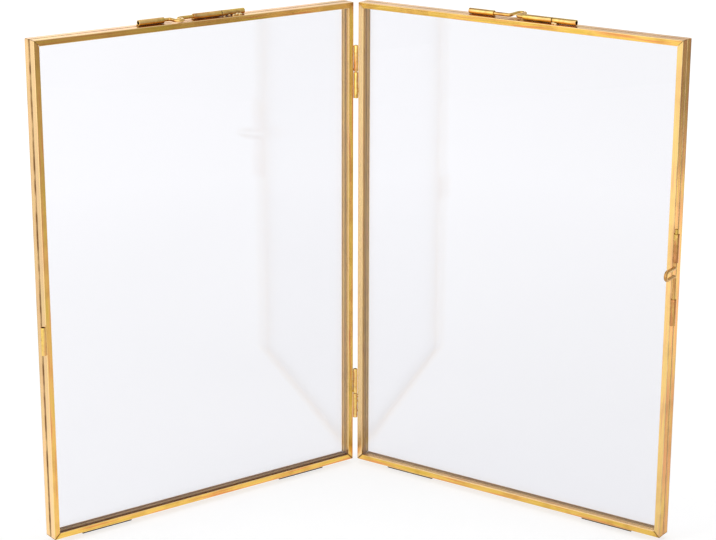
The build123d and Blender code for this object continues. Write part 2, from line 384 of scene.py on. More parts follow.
# one side of the U section from the middle of its web to the middle of its slot, each point with its
# y, z, paleness (wear and painted highlight), film (painted shade on the seam's side), rose and brown
# (painted shade along the seam)
def channelSide(depth, face, filmAndShade, slot, faceHighlightShare, webHighlightShare, faceTint, rose, brown):
    wall, bend, lip, guard, bed = (channel[key] for key in ("wall", "round", "lip", "guard", "bed"))
    wornAndSheen, crease, dirtAndShade, scorchAndShade, tinge = (
        channel[key] for key in ("wornAndSheen", "crease", "dirtAndShade", "scorchAndShade", "slotRose")
    )
    side = [(depth - across, 0, webHighlightShare, 0, rose, 0) for across in (depth / 2, scorchAndShade)]
    side += [(depth - across, 0, webHighlightShare, 0, rose, brown) for across in (scorchAndShade / 2, bend + guard)]
    # the rounded edges are drawn pale, partly wear and partly painted highlight; on the seam's side the film
    # paints shade on them
    side += [(y, z, wornAndSheen, filmAndShade, 0, brown) for y, z in arcPoints((depth - bend, bend), bend, -90, 0, 6)]
    side += [(depth, z, faceHighlightShare, filmAndShade, faceTint, 0) for z in (bend + guard, face - lip - guard)]
    side += [(y, z, wornAndSheen, filmAndShade, 0, 0) for y, z in arcPoints((depth - lip, face - lip), lip, 0, 90, 4)]
    innerLip = arcPoints((depth - wall + lip, face - lip), lip, 90, 180, 4)
    side += [(y, z, wornAndSheen, slot, tinge, 0) for y, z in innerLip]
    # dirt sits in the crease between lip and glass
    side += [(depth - wall, z, 0, max(slot, dirtAndShade), tinge, 0) for z in (face - lip - guard, face - bed)]
    side.append((depth - wall - crease, face - bed, 0, slot, tinge, 0))
    return [*side, (depth / 2, face - bed, 0, slot, tinge, 0)]


# U section as a closed line: y across the channel, z inwards from its web, the glass bedded near its lips
def channelSection(rim, depth, face):
    slot = slotFilm.get(rim, channel["slotFilm"])
    # some faces and the outer webs are drawn pale as a painted highlight
    webHighlightShare = webHighlight.get(rim, 0.0)
    rose = webRose.get(rim, channel["webRose"])
    # the web is drawn brown along its outer edge and along the seam; along the seam, on the web and on the
    # seam's lips, it is painted shade
    edgeBrown, seamShadeBrown = webBrownAndShade.get(rim, (0.0, 0.0))
    seam = (seamShade.get(rim, channel["seamShade"]), 0.0, channel["seamRose"], seamShadeBrown)
    outside = (0.0, faceHighlight.get(rim, 0.0), faceRose.get(rim, 0.0), edgeBrown)
    # the front half has its seam at the back, the back half in front
    back, front = (
        channelSide(depth, face, filmAndShade, slot, faceSheen, webHighlightShare, tint, rose, brown)
        for filmAndShade, faceSheen, tint, brown in ((outside, seam) if "_back_" in rim else (seam, outside))
    )
    mirrored = [(depth - point[0], *point[1:]) for point in reversed(front[1:-1])]
    # the line starts inside the slot, so that its join is out of sight
    loop = back[-1:] + mirrored + back[:-1]
    mesh = bpy.data.meshes.new("channelSection")
    edges = [(i, (i + 1) % len(loop)) for i in range(len(loop))]
    mesh.from_pydata([(0, point[0], point[1]) for point in loop], edges, [])
    for name, column in (("wearAndSheen", 2), ("inside", 3), ("web", 4), ("scorchAndShade", 5)):
        addShare(mesh, name, [point[column] for point in loop])
    return mesh


# draws the section out to a rail and cuts both ends to a mitre
def drawnChannelTree():
    sizes = ["Length", "Mitre Gap", "Near Clear", "Far Clear", "Waviness", "Steps", "Seed"]
    tree, given = startTree("drawnChannel", sizes)
    spot = addNode(tree, "GeometryNodeInputPosition").outputs[0]
    spline = addNode(tree, "GeometryNodeSplineParameter").outputs
    section = addNode(tree, "GeometryNodeMeshToCurve", {"Mesh": given["Geometry"]}).outputs[0]
    section = addNode(
        tree,
        "GeometryNodeStoreNamedAttribute",
        {"Geometry": section, "Name": "section", "Value": spot},
        data_type="FLOAT_VECTOR",
    ).outputs[0]
    section = addNode(
        tree,
        "GeometryNodeStoreNamedAttribute",
        {"Geometry": section, "Name": "around", "Value": spline["Length"]},
    ).outputs[0]
    line = addNode(tree, "GeometryNodeCurvePrimitiveLine", {"End": (1, 0, 0)}).outputs[0]
    line = addNode(tree, "GeometryNodeResampleCurve", {"Curve": line, "Count": given["Steps"]}).outputs[0]
    line = addNode(
        tree,
        "GeometryNodeStoreNamedAttribute",
        {"Geometry": line, "Name": "share", "Value": spline["Factor"]},
    ).outputs[0]
    bar = addNode(
        tree, "GeometryNodeCurveToMesh", {"Curve": line, "Profile Curve": section, "Fill Caps": True}
    ).outputs[0]
    around = addNode(tree, "GeometryNodeInputNamedAttribute", {"Name": "around"}).outputs[0]
    share = addNode(tree, "GeometryNodeInputNamedAttribute", {"Name": "share"}).outputs[0]
    drawnSection = addNode(
        tree, "GeometryNodeInputNamedAttribute", {"Name": "section"}, data_type="FLOAT_VECTOR"
    ).outputs[0]
    parts = addNode(tree, "ShaderNodeSeparateXYZ", {0: drawnSection}).outputs
    inset = addNode(
        tree, "ShaderNodeMath", {0: parts["Z"], 1: given["Mitre Gap"]}, operation="ADD"
    ).outputs[0]
    span = addNode(
        tree, "ShaderNodeMath", {0: inset, 1: -2.0, 2: given["Length"]}, operation="MULTIPLY_ADD"
    ).outputs[0]
    along = addNode(
        tree, "ShaderNodeMath", {0: span, 1: share, 2: inset}, operation="MULTIPLY_ADD"
    ).outputs[0]
    place = addNode(tree, "ShaderNodeCombineXYZ", {0: along, 1: parts["Y"], 2: parts["Z"]}).outputs[0]
    bar = addNode(tree, "GeometryNodeSetPosition", {"Geometry": bar, "Position": place}).outputs[0]
    # distance to the nearer mitre that holds flux; a clear end counts as a whole rail away
    near = addNode(tree, "ShaderNodeMath", {0: share, 1: given["Near Clear"]}, operation="ADD").outputs[0]
    far = addNode(
        tree, "ShaderNodeMath", {0: given["Far Clear"], 1: share}, operation="SUBTRACT"
    ).outputs[0]
    far = addNode(tree, "ShaderNodeMath", {0: far, 1: 1.0}, operation="ADD").outputs[0]
    mitre = addNode(tree, "ShaderNodeMath", {0: near, 1: far}, operation="MINIMUM").outputs[0]
    mitre = addNode(tree, "ShaderNodeMath", {0: mitre, 1: span}, operation="MULTIPLY").outputs[0]
    bar = addNode(
        tree, "GeometryNodeStoreNamedAttribute", {"Geometry": bar, "Name": "mitre", "Value": mitre}
    ).outputs[0]
    # a slow wave in the hand-drawn strip
    slow = addNode(
        tree,
        "ShaderNodeTexNoise",
        {"Vector": spot, "W": given["Seed"], "Scale": channel["wavesPerMm"]},
        noise_dimensions="4D",
    ).outputs[0]
    swing = addNode(tree, "ShaderNodeMapRange", {0: slow, 3: -1.0, 4: 1.0}).outputs[0]
    push = addNode(
        tree, "ShaderNodeMath", {0: swing, 1: given["Waviness"]}, operation="MULTIPLY"
    ).outputs[0]
    normal = addNode(tree, "GeometryNodeInputNormal").outputs[0]
    offset = addNode(tree, "ShaderNodeVectorMath", {0: normal, "Scale": push}, operation="SCALE").outputs[0]
    bar = addNode(tree, "GeometryNodeSetPosition", {"Geometry": bar, "Offset": offset}).outputs[0]
    drawn = addNode(tree, "ShaderNodeCombineXYZ", {0: along, 1: around, 2: given["Seed"]}).outputs[0]
    bar = addNode(
        tree,
        "GeometryNodeStoreNamedAttribute",
        {"Geometry": bar, "Name": "drawn", "Value": drawn},
        data_type="FLOAT_VECTOR",
    ).outputs[0]
    return endTree(tree, given, bar)


# places in the leaf's frame where solder warmed the brass, by body and by node
solderSpots = {}


# brown stain that fades with distance from the nearest warm place
def addHeat(mesh, owner, spread, amount):
    points = np.array([vertex.co for vertex in mesh.vertices])
    heatAndShade = np.zeros(len(points))
    for spot in solderSpots.get(owner, []):
        distance = np.linalg.norm(points - np.array(spot), axis=1)
        heatAndShade = np.maximum(heatAndShade, np.exp(-((distance / spread) ** 2)))
    heatAndShade *= amount
    # a rail is browned along its web edges already, with painted shade along its seam
    if "scorchAndShade" in mesh.attributes:
        before = np.zeros(len(points), dtype=np.float32)
        mesh.attributes["scorchAndShade"].data.foreach_get("value", before)
        heatAndShade = np.maximum(heatAndShade, before)
    addShare(mesh, "scorchAndShade", heatAndShade)


# sizes in mm; girth is the way round a barrel, for its streaks
barrels = {
    "hingeRadius": 0.9, "hingeWall": 0.35, "claspRadius": 1.05, "claspWall": 0.35,
    "lip": 0.1, "sides": 40, "steps": 6, "dents": 0.03, "dentsPerMm": 0.9, "girth": 7.0, "heatSpread": 1.6,
}


# barrels by the words in their names: their axis, the way off the rail, and the side of their solder foot
def barrelKind(node):
    if node.startswith("fold"):
        away = Vector((1, 0, 0)) if "left" in node else Vector((-1, 0, 0))
        return {"hinge": True, "axis": 2, "away": away, "foot": 1}
    if "knuckle" in node:
        return {"hinge": True, "axis": 0, "away": Vector((0, 0, -1)), "foot": -1 if "front" in node else 1}
    if node.startswith("side_clasp"):
        away = Vector((-1, 0, 0)) if "keeper" in node else Vector((1, 0, 0))
        return {"hinge": False, "axis": 2, "away": away, "foot": 1}
    return {"hinge": False, "axis": 0, "away": Vector((0, 0, 1)), "foot": -1 if "keeper" in node else 1}


# middle of a barrel on its own axis, from its packed box
def barrelPlace(node):
    kind = barrelKind(node)
    kind["radius"] = barrels["hingeRadius"] if kind["hinge"] else barrels["claspRadius"]
    kind["wall"] = barrels["hingeWall"] if kind["hinge"] else barrels["claspWall"]
    low, high = localBox(node)
    center = (low + high) / 2
    center.y = low.y + kind["radius"] if kind["foot"] > 0 else high.y - kind["radius"]
    across = 2 if kind["axis"] == 0 else 0
    outer = high[across] if kind["away"][across] > 0 else low[across]
    center[across] = outer - kind["radius"] * kind["away"][across]
    kind["center"] = center
    kind["length"] = high[kind["axis"]] - low[kind["axis"]]
    kind["seat"] = low[across] if kind["away"][across] > 0 else high[across]
    kind["footEdge"] = (high.y if kind["foot"] > 0 else low.y) - center.y
    return kind


# rolls a rounded strip of wall round a circle: a tube with eased lips
def rolledTubeTree():
    sizes = ["Radius", "Wall", "Length", "Lip", "Dents", "Film And Shade", "Steps", "Sides", "Seed"]
    tree, given = startTree("rolledTube", sizes)
    spot = addNode(tree, "GeometryNodeInputPosition").outputs[0]
    spline = addNode(tree, "GeometryNodeSplineParameter").outputs
    strip = addNode(
        tree, "GeometryNodeCurvePrimitiveQuadrilateral", {"Width": given["Length"], "Height": given["Wall"]}
    ).outputs[0]
    strip = addNode(
        tree, "GeometryNodeFilletCurve", {"Curve": strip, "Radius": given["Lip"], "Count": 4}, mode="POLY"
    ).outputs[0]
    strip = addNode(tree, "GeometryNodeSubdivideCurve", {"Curve": strip, "Cuts": given["Steps"]}).outputs[0]
    strip = addNode(
        tree,
        "GeometryNodeStoreNamedAttribute",
        {"Geometry": strip, "Name": "section", "Value": spot},
        data_type="FLOAT_VECTOR",
    ).outputs[0]
    ring = addNode(
        tree, "GeometryNodeCurvePrimitiveCircle", {"Resolution": given["Sides"], "Radius": 1.0}
    ).outputs[0]
    ring = addNode(
        tree,
        "GeometryNodeStoreNamedAttribute",
        {"Geometry": ring, "Name": "turn", "Value": spot},
        data_type="FLOAT_VECTOR",
    ).outputs[0]
    ring = addNode(
        tree,
        "GeometryNodeStoreNamedAttribute",
        {"Geometry": ring, "Name": "share", "Value": spline["Factor"]},
    ).outputs[0]
    tube = addNode(tree, "GeometryNodeCurveToMesh", {"Curve": ring, "Profile Curve": strip}).outputs[0]
    section = addNode(
        tree, "GeometryNodeInputNamedAttribute", {"Name": "section"}, data_type="FLOAT_VECTOR"
    ).outputs[0]
    turn = addNode(
        tree, "GeometryNodeInputNamedAttribute", {"Name": "turn"}, data_type="FLOAT_VECTOR"
    ).outputs[0]
    share = addNode(tree, "GeometryNodeInputNamedAttribute", {"Name": "share"}).outputs[0]
    parts = addNode(tree, "ShaderNodeSeparateXYZ", {0: section}).outputs
    way = addNode(tree, "ShaderNodeSeparateXYZ", {0: turn}).outputs
    middle = addNode(
        tree, "ShaderNodeMath", {0: given["Wall"], 1: -0.5, 2: given["Radius"]}, operation="MULTIPLY_ADD"
    ).outputs[0]
    # shallow dents and file marks from fitting
    rough = addNode(
        tree,
        "ShaderNodeTexNoise",
        {"Vector": section, "W": given["Seed"], "Scale": barrels["dentsPerMm"]},
        noise_dimensions="4D",
    ).outputs[0]
    dent = addNode(tree, "ShaderNodeMapRange", {0: rough, 1: 0.45, 2: 0.75, 4: -1.0}).outputs[0]
    dented = addNode(
        tree, "ShaderNodeMath", {0: dent, 1: given["Dents"], 2: middle}, operation="MULTIPLY_ADD"
    ).outputs[0]
    out = addNode(tree, "ShaderNodeMath", {0: dented, 1: parts["Y"]}, operation="ADD").outputs[0]
    across = addNode(tree, "ShaderNodeMath", {0: out, 1: way["X"]}, operation="MULTIPLY").outputs[0]
    above = addNode(tree, "ShaderNodeMath", {0: out, 1: way["Y"]}, operation="MULTIPLY").outputs[0]
    place = addNode(tree, "ShaderNodeCombineXYZ", {0: parts["X"], 1: across, 2: above}).outputs[0]
    tube = addNode(tree, "GeometryNodeSetPosition", {"Geometry": tube, "Position": place}).outputs[0]
    # the bore is marked for its brown film
    bore = addNode(tree, "ShaderNodeMath", {0: given["Wall"], 1: -0.4}, operation="MULTIPLY").outputs[0]
    inside = addNode(tree, "ShaderNodeMath", {0: parts["Y"], 1: bore}, operation="LESS_THAN").outputs[0]
    # the film given to the tree browns the whole barrel; on the barrels under the bottom rails it is painted
    # shade
    inside = addNode(tree, "ShaderNodeMath", {0: inside, 1: given["Film And Shade"]}, operation="MAXIMUM").outputs[0]
    tube = addNode(
        tree, "GeometryNodeStoreNamedAttribute", {"Geometry": tube, "Name": "inside", "Value": inside}
    ).outputs[0]
    around = addNode(
        tree, "ShaderNodeMath", {0: share, 1: barrels["girth"]}, operation="MULTIPLY"
    ).outputs[0]
    drawn = addNode(tree, "ShaderNodeCombineXYZ", {0: parts["X"], 1: around, 2: given["Seed"]}).outputs[0]
    tube = addNode(
        tree,
        "GeometryNodeStoreNamedAttribute",
        {"Geometry": tube, "Name": "drawn", "Value": drawn},
        data_type="FLOAT_VECTOR",
    ).outputs[0]
    return endTree(tree, given, tube)


# sizes in mm; beads are from least to most of their stated size
solder = {
    "stretch": 1.5, "jitter": 0.12, "spacing": 0.85, "voxel": 0.08, "sink": 0.2, "least": 0.72, "most": 1.12,
    "heatSpread": 0.4, "brown": 0.3,
}
# runs of solder along a barrel: where each starts and ends as a share of its length, and its bead size
plainRun = [(0.0, 1.0, 0.4)]
solderRuns = {
    "left_clasp_keeper": [(0.0, 0.32, 0.36), (0.4, 0.88, 0.66)],
    "right_clasp_keeper": [(0.0, 0.26, 0.5)],
}
# ends that the torch scorched, as shares of the barrel's length
scorched = {
    "left_clasp_short_guide": [0.85, 1.0], "left_clasp_long_guide": [0.0, 0.15, 1.0],
    "left_clasp_keeper": [0.0], "side_clasp_upper_guide": [0.0, 0.5, 1.0],
}
# how brown the torch left each group of barrels
torchBrown = {
    "left_clasp": 0.5, "right_clasp": 0.1, "side_clasp_keeper": 0.15, "side_clasp": 0.4, "fold": 0.15,
    "left": 0.6, "right": 0.6,
}
# how rosy it left them
torchRose = {"left_clasp": 0.45, "side_clasp_keeper": 0.6, "side_clasp": 1.6}
# how brown it left the rails beside them
railBrown = {"left": 0.3, "right": 0.15}
# how brown the barrels are drawn: painted shade on those under the bottom rails, where the rails keep the
# light off them, and a brown film on the side clasp
barrelFilmAndShade = {"left_bottom": 1.0, "right_bottom": 0.8, "side_clasp_keeper": 0.0, "side_clasp": 0.08}


# a row of uneven beads run together into one fillet
def solderTree():
    sizes = ["Length", "Bead", "Stretch", "Jitter", "Voxel", "Steps", "Seed"]
    tree, given = startTree("solderFillet", sizes)
    end = addNode(tree, "ShaderNodeCombineXYZ", {0: given["Length"]}).outputs[0]
    line = addNode(tree, "GeometryNodeCurvePrimitiveLine", {"End": end}).outputs[0]
    line = addNode(tree, "GeometryNodeResampleCurve", {"Curve": line, "Count": given["Steps"]}).outputs[0]
    least = addNode(tree, "ShaderNodeMath", {0: given["Jitter"], 1: -1.0}, operation="MULTIPLY").outputs[0]
    shift = addNode(
        tree,
        "FunctionNodeRandomValue",
        {
            0: addNode(tree, "ShaderNodeCombineXYZ", {0: least, 1: least, 2: least}).outputs[0],
            1: addNode(tree, "ShaderNodeCombineXYZ", {i: given["Jitter"] for i in range(3)}).outputs[0],
            "Seed": given["Seed"],
        },
        data_type="FLOAT_VECTOR",
    ).outputs[0]
    line = addNode(tree, "GeometryNodeSetPosition", {"Geometry": line, "Offset": shift}).outputs[0]
    size = addNode(
        tree,
        "FunctionNodeRandomValue",
        {2: solder["least"], 3: solder["most"], "Seed": given["Seed"]},
        data_type="FLOAT",
    ).outputs[1]
    size = addNode(tree, "ShaderNodeMath", {0: size, 1: given["Bead"]}, operation="MULTIPLY").outputs[0]
    length = addNode(
        tree, "ShaderNodeMath", {0: size, 1: given["Stretch"]}, operation="MULTIPLY"
    ).outputs[0]
    scale = addNode(tree, "ShaderNodeCombineXYZ", {0: length, 1: size, 2: size}).outputs[0]
    ball = addNode(tree, "GeometryNodeMeshIcoSphere", {"Radius": 1.0, "Subdivisions": 3}).outputs[0]
    beads = addNode(
        tree, "GeometryNodeInstanceOnPoints", {"Points": line, "Instance": ball, "Scale": scale}
    ).outputs[0]
    beads = addNode(tree, "GeometryNodeRealizeInstances", {"Geometry": beads}).outputs[0]
    cloud = addNode(
        tree,
        "GeometryNodeMeshToVolume",
        {"Mesh": beads, "Density": 1.0, "Voxel Size": given["Voxel"], "Interior Band Width": 1.0},
        resolution_mode="VOXEL_SIZE",
    ).outputs[0]
    fillet = addNode(tree, "GeometryNodeVolumeToMesh", {"Volume": cloud, "Threshold": 0.1}).outputs[0]
    return endTree(tree, given, fillet)


emptyMesh = bpy.data.meshes.new("start")
tubeTree = rolledTubeTree()
filletTree = solderTree()
barrelNodes = [name for name in nodeNames if name.endswith(("knuckle", "guide", "keeper"))]
for node in barrelNodes:
    seed = nodeNames.index(node)
    kind = barrelPlace(node)
    # the barrels under the bottom rails get their painted shade here, as film
    dirtAndShade = [filmAndShade for group, filmAndShade in barrelFilmAndShade.items() if node.startswith(group)]
    tube = growMesh(
        tubeTree,
        emptyMesh,
        {
            "Radius": kind["radius"], "Wall": kind["wall"], "Length": kind["length"], "Lip": barrels["lip"],
            "Dents": barrels["dents"], "Film And Shade": dirtAndShade[0] if dirtAndShade else 0.0,
            "Steps": barrels["steps"], "Sides": barrels["sides"], "Seed": seed, "Finish": barrelBrass,
        },
    )
    along = Vector((1, 0, 0)) if kind["axis"] == 0 else Vector((0, 0, 1))
    turn = Matrix.Identity(4) if kind["axis"] == 0 else Matrix.Rotation(math.radians(-90), 4, "Y")
    tube.transform(Matrix.Translation(kind["center"]) @ turn)
    # the fillet lies under the barrel on the foot's side, on its own half of the leaf
    across = 2 if kind["axis"] == 0 else 0
    join = bmesh.new()
    warm = []
    for first, last, bead in solderRuns.get(node, plainRun):
        reach = bead * solder["stretch"]
        run = kind["length"] * (last - first) - 2 * reach
        beadLow = kind["center"] + along * (kind["length"] * (first - 0.5) + reach)
        beadLow.y = kind["center"].y + kind["footEdge"] - kind["foot"] * (bead + solder["jitter"])
        beadLow[across] = kind["seat"] + kind["away"][across] * solder["sink"]
        beads = growMesh(
            filletTree,
            emptyMesh,
            {
                "Length": run, "Bead": bead, "Stretch": solder["stretch"], "Jitter": solder["jitter"],
                "Voxel": solder["voxel"], "Steps": max(2, round(run / solder["spacing"])), "Seed": seed,
                "Finish": solderFinish,
            },
        )
        beads.transform(Matrix.Translation(beadLow) @ turn)
        join.from_mesh(beads)
        warm += [beadLow + along * run * share for share in np.linspace(0, 1, 5)]
    fillet = beads.copy()
    join.to_mesh(fillet)
    join.free()
    solderSpots.setdefault(nodeBody[node], []).extend(warm)
    burnt = [kind["center"] + along * kind["length"] * (share - 0.5) for share in scorched.get(node, [])]
    solderSpots[node] = [*warm, *burnt]
    group = next(group for group in torchBrown if node.startswith(group))
    addHeat(tube, node, barrels["heatSpread"], torchBrown[group])
    addShare(tube, "web", np.full(len(tube.vertices), torchRose.get(group, 0.0)))
    addHeat(fillet, nodeBody[node], solder["heatSpread"], solder["brown"])
    place = leafPlace[leafOf(node)]
    makePiece(f"{node}_tube", tube, place, nodeBody[node], "barrel_brass", node)
    makePiece(f"{node}_solder", fillet, place, nodeBody[node], "barrel_brass")
print("barrels and solder", len(barrelNodes))

channelTree = drawnChannelTree()
railNodes = [name for name in nodeNames if name.endswith("rail")]
for node in railNodes:
    low, high = localBox(node)
    size = high - low
    upright = size.z > size.x
    length = size.z if upright else size.x
    face = size.x if upright else size.z
    leaf = leafOf(node)
    paneLow = localBox(f"{nodeBody[node]}_glass")[0]
    # the ways along the rail and in towards the pane, from the end that the rail starts at
    inward = Vector((1, 0, 0)) if upright else Vector((0, 0, 1))
    lengthWay = Vector((0, 0, 1)) if upright else Vector((1, 0, 0))
    start = low.copy()
    if inward.dot(low - paneLow) > face:
        start += inward * face
        inward = -inward
    lay = Matrix((lengthWay, Vector((0, 1, 0)), inward)).transposed().to_4x4()
    rim = node.removesuffix("_rail")
    rail = growMesh(
        channelTree,
        channelSection(rim, size.y, face),
        {
            "Length": length, "Mitre Gap": channel["mitreGap"], "Near Clear": 1.0 if "top" in node else 0.0,
            "Far Clear": 0.0 if "bottom" in node else 1.0, "Waviness": channel["waviness"],
            "Steps": round(length / channel["step"]), "Seed": nodeNames.index(node), "Finish": channelBrass,
        },
    )
    rail.transform(Matrix.Translation(start) @ lay)
    corners = [start + lengthWay * share for share in (0, length)]
    solderSpots.setdefault(node, []).extend([*solderSpots.get(nodeBody[node], []), *corners])
    addHeat(rail, node, channel["heatSpread"], railBrown[leaf])
    makePiece(f"{node}_drawn", rail, leafPlace[leaf], nodeBody[node], "channel_brass", node)
print("rails drawn", len(railNodes))

pane = {"arris": 0.25}
paneNodes = [name for name in nodeNames if name.endswith("glass")]
for node in paneNodes:
    low, high = localBox(node)
    block = bmesh.new()
    bmesh.ops.create_cube(block, size=1)
    bmesh.ops.scale(block, vec=high - low, verts=block.verts)
    bmesh.ops.translate(block, vec=(low + high) / 2, verts=block.verts)
    bmesh.ops.bevel(block, geom=block.edges[:], offset=pane["arris"], segments=1, affect="EDGES")
    sheet = bpy.data.meshes.new(node)
    block.to_mesh(sheet)
    block.free()
    sheet.materials.append(floatGlass)
    glass = makePiece(f"{node}_pane", sheet, leafPlace[leafOf(node)], nodeBody[node], "glass", node)
    glass.data.shade_flat()
print("panes cut", len(paneNodes))

wire = {
    "bend": 1.0, "crown": 0.98, "sides": 20, "sideFilm": 0.12, "sideRose": 0.7,
    "nose": [(0.0, 0.55), (0.1, 0.8), (0.28, 0.96), (0.5, 1.0)],
}


# bends a line of points into round wire; each point carries its bend radius and its thickness
def bentWireTree():
    tree, given = startTree("bentWire", ["Radius", "Sides", "Seed"])
    spline = addNode(tree, "GeometryNodeSplineParameter").outputs
    bend = addNode(tree, "GeometryNodeInputNamedAttribute", {"Name": "bend"}).outputs[0]
    thick = addNode(tree, "GeometryNodeInputNamedAttribute", {"Name": "thick"}).outputs[0]
    path = addNode(tree, "GeometryNodeMeshToCurve", {"Mesh": given["Geometry"]}).outputs[0]
    path = addNode(
        tree, "GeometryNodeFilletCurve", {"Curve": path, "Radius": bend, "Count": 10}, mode="POLY"
    ).outputs[0]
    path = addNode(tree, "GeometryNodeSetCurveRadius", {"Curve": path, "Radius": thick}).outputs[0]
    path = addNode(
        tree,
        "GeometryNodeStoreNamedAttribute",
        {"Geometry": path, "Name": "along", "Value": spline["Length"]},
    ).outputs[0]
    ring = addNode(
        tree, "GeometryNodeCurvePrimitiveCircle", {"Resolution": given["Sides"], "Radius": given["Radius"]}
    ).outputs[0]
    ring = addNode(
        tree,
        "GeometryNodeStoreNamedAttribute",
        {"Geometry": ring, "Name": "around", "Value": spline["Length"]},
    ).outputs[0]
    rod = addNode(
        tree, "GeometryNodeCurveToMesh", {"Curve": path, "Profile Curve": ring, "Fill Caps": True}
    ).outputs[0]
    along = addNode(tree, "GeometryNodeInputNamedAttribute", {"Name": "along"}).outputs[0]
    around = addNode(tree, "GeometryNodeInputNamedAttribute", {"Name": "around"}).outputs[0]
    drawn = addNode(tree, "ShaderNodeCombineXYZ", {0: along, 1: around, 2: given["Seed"]}).outputs[0]
    rod = addNode(
        tree,
        "GeometryNodeStoreNamedAttribute",
        {"Geometry": rod, "Name": "drawn", "Value": drawn},
        data_type="FLOAT_VECTOR",
    ).outputs[0]
    return endTree(tree, given, rod)


# a line of (place, bend radius) points as a mesh, with eased ends
def wireLine(points):
    first = (points[1][0] - points[0][0]).normalized()
    last = (points[-2][0] - points[-1][0]).normalized()
    line = [(points[0][0] + first * reach, 0, thick) for reach, thick in wire["nose"]]
    line += [(place, bend, 1) for place, bend in points[1:-1]]
    line += [(points[-1][0] + last * reach, 0, thick) for reach, thick in reversed(wire["nose"])]
    mesh = bpy.data.meshes.new("wireLine")
    edges = [(i, i + 1) for i in range(len(line) - 1)]
    mesh.from_pydata([point[0] for point in line], edges, [])
    for name, column in (("bend", 1), ("thick", 2)):
        addShare(mesh, name, [point[column] for point in line])
    return mesh


wireTree = bentWireTree()
pinNodes = [name for name in nodeNames if name.endswith("pin")]
for node in pinNodes:
    points = localPoints(node)
    low, high = points.min(0), points.max(0)
    spine = 2 if node.startswith(("fold", "side")) else 0
    tail = points[points[:, spine] < low[spine] + 0.01].mean(0)
    ends = [Vector(tail), Vector(tail)]
    ends[1][spine] = high[spine]
    line = [(ends[0], 0), (ends[1], 0)]
    # a clasp's pin has a finger loop: two legs and a round crown
    if "clasp" in node:
        radius = (high - low)[0 if spine == 2 else 2] / 2
        loop = points[abs(points[:, 1] - tail[1]) > 3 * radius]
        reach = loop[abs(loop[:, 1] - tail[1]).argmax(), 1]
        reach -= math.copysign(radius, reach - tail[1])
        legs = [loop[:, spine].min() + radius, loop[:, spine].max() - radius]
        crown = (legs[1] - legs[0]) / 2
        bends = []
        for leg, order in zip(legs, ((0, 1), (1, 0))):
            foot, top = Vector(tail), Vector(tail)
            foot[spine] = top[spine] = leg
            top.y = reach
            bends += [[(foot, wire["bend"]), (top, crown * wire["crown"])][i] for i in order]
        line = [line[0], *bends, line[1]]
    else:
        radius = (high - low)[1] / 2
    rod = growMesh(
        wireTree,
        wireLine(line),
        {"Radius": radius, "Sides": wire["sides"], "Seed": nodeNames.index(node), "Finish": wireBrass},
    )
    if node.startswith("side"):
        addShare(rod, "inside", np.full(len(rod.vertices), wire["sideFilm"]))
        addShare(rod, "web", np.full(len(rod.vertices), wire["sideRose"]))
    makePiece(f"{node}_wire", rod, leafPlace[leafOf(node)], nodeBody[node], "wire_brass", node)
print("pins bent", len(pinNodes))

# white sheet and white room; what the metal mirrors is brighter to the left, in front and low behind
# than elsewhere
stage = {
    "sheet": 0.62, "paper": "#F4F4F4", "glow": 1.15, "nearShare": 0.65, "farShare": 0.95,
    "through": (1.1, 1.0), "floorGlow": (1.28, 0.6), "leftBack": -0.3, "farBack": -0.6,
    "rightBack": 0.9, "rightNear": 0.5, "roomGlow": (1.6, 0.6), "backGlow": (0.3, -0.15),
    "frontGlow": 1.3, "leftGlow": 0.1, "zenith": 0.35, "below": 0.62, "ambient": 0.35,
}
sheetMesh = bpy.data.meshes.new("whiteSheet")
reach = stage["sheet"]
corners = [(-reach, -reach, 0), (reach, -reach, 0), (reach, 2 * reach, 0), (-reach, 2 * reach, 0)]
sheetMesh.from_pydata(corners, [], [(0, 1, 2, 3)])
whiteSheet = bpy.data.objects.new("whiteSheet", sheetMesh)
scene.collection.objects.link(whiteSheet)
paper = bpy.data.materials.new("mattWhitePaper")
paper.use_nodes = True
tree = paper.node_tree
tree.nodes.clear()
path = addNode(tree, "ShaderNodeLightPath").outputs
place = addNode(tree, "ShaderNodeTexCoord").outputs["Object"]
spot = addNode(tree, "ShaderNodeSeparateXYZ", {0: place}).outputs
away = addNode(tree, "ShaderNodeVectorMath", {0: place}, operation="LENGTH").outputs["Value"]
share = addNode(
    tree, "ShaderNodeMapRange", {0: away, 1: 0.15, 2: 0.5, 3: stage["nearShare"], 4: stage["farShare"]}
).outputs[0]
floorLeft, floorRight = stage["floorGlow"]
mirrored = addNode(
    tree, "ShaderNodeMapRange", {0: spot["X"], 1: -0.2, 2: 0.45, 3: floorLeft, 4: floorRight}
).outputs[0]
# patches of the paper as the metal mirrors it: coordinate, where the change starts and ends, and its amount
patches = [
    [(spot["Y"], -0.02, 0.05, stage["leftBack"]), (spot["X"], -0.1, -0.2, 1.0)],
    [(spot["Y"], 0.4, 0.6, stage["farBack"])],
    [(spot["Y"], 0.0, 0.12, stage["rightBack"]), (spot["X"], 0.1, 0.3, 1.0)],
    [
        (spot["Y"], -0.15, -0.05, stage["rightNear"]),
        (spot["Y"], 0.02, -0.02, 1.0),
        (spot["X"], 0.1, 0.25, 1.0),
    ],
]
for patch in patches:
    change = 1.0
    for side, first, last, most in patch:
        ramp = addNode(tree, "ShaderNodeMapRange", {0: side, 1: first, 2: last, 4: most}).outputs[0]
        change = addNode(tree, "ShaderNodeMath", {0: ramp, 1: change}, operation="MULTIPLY").outputs[0]
    mirrored = addNode(tree, "ShaderNodeMath", {0: mirrored, 1: change}, operation="ADD").outputs[0]
throughLeft, throughRight = stage["through"]
through = addNode(
    tree, "ShaderNodeMapRange", {0: spot["X"], 1: -0.2, 2: 0.2, 3: throughLeft, 4: throughRight}
).outputs[0]
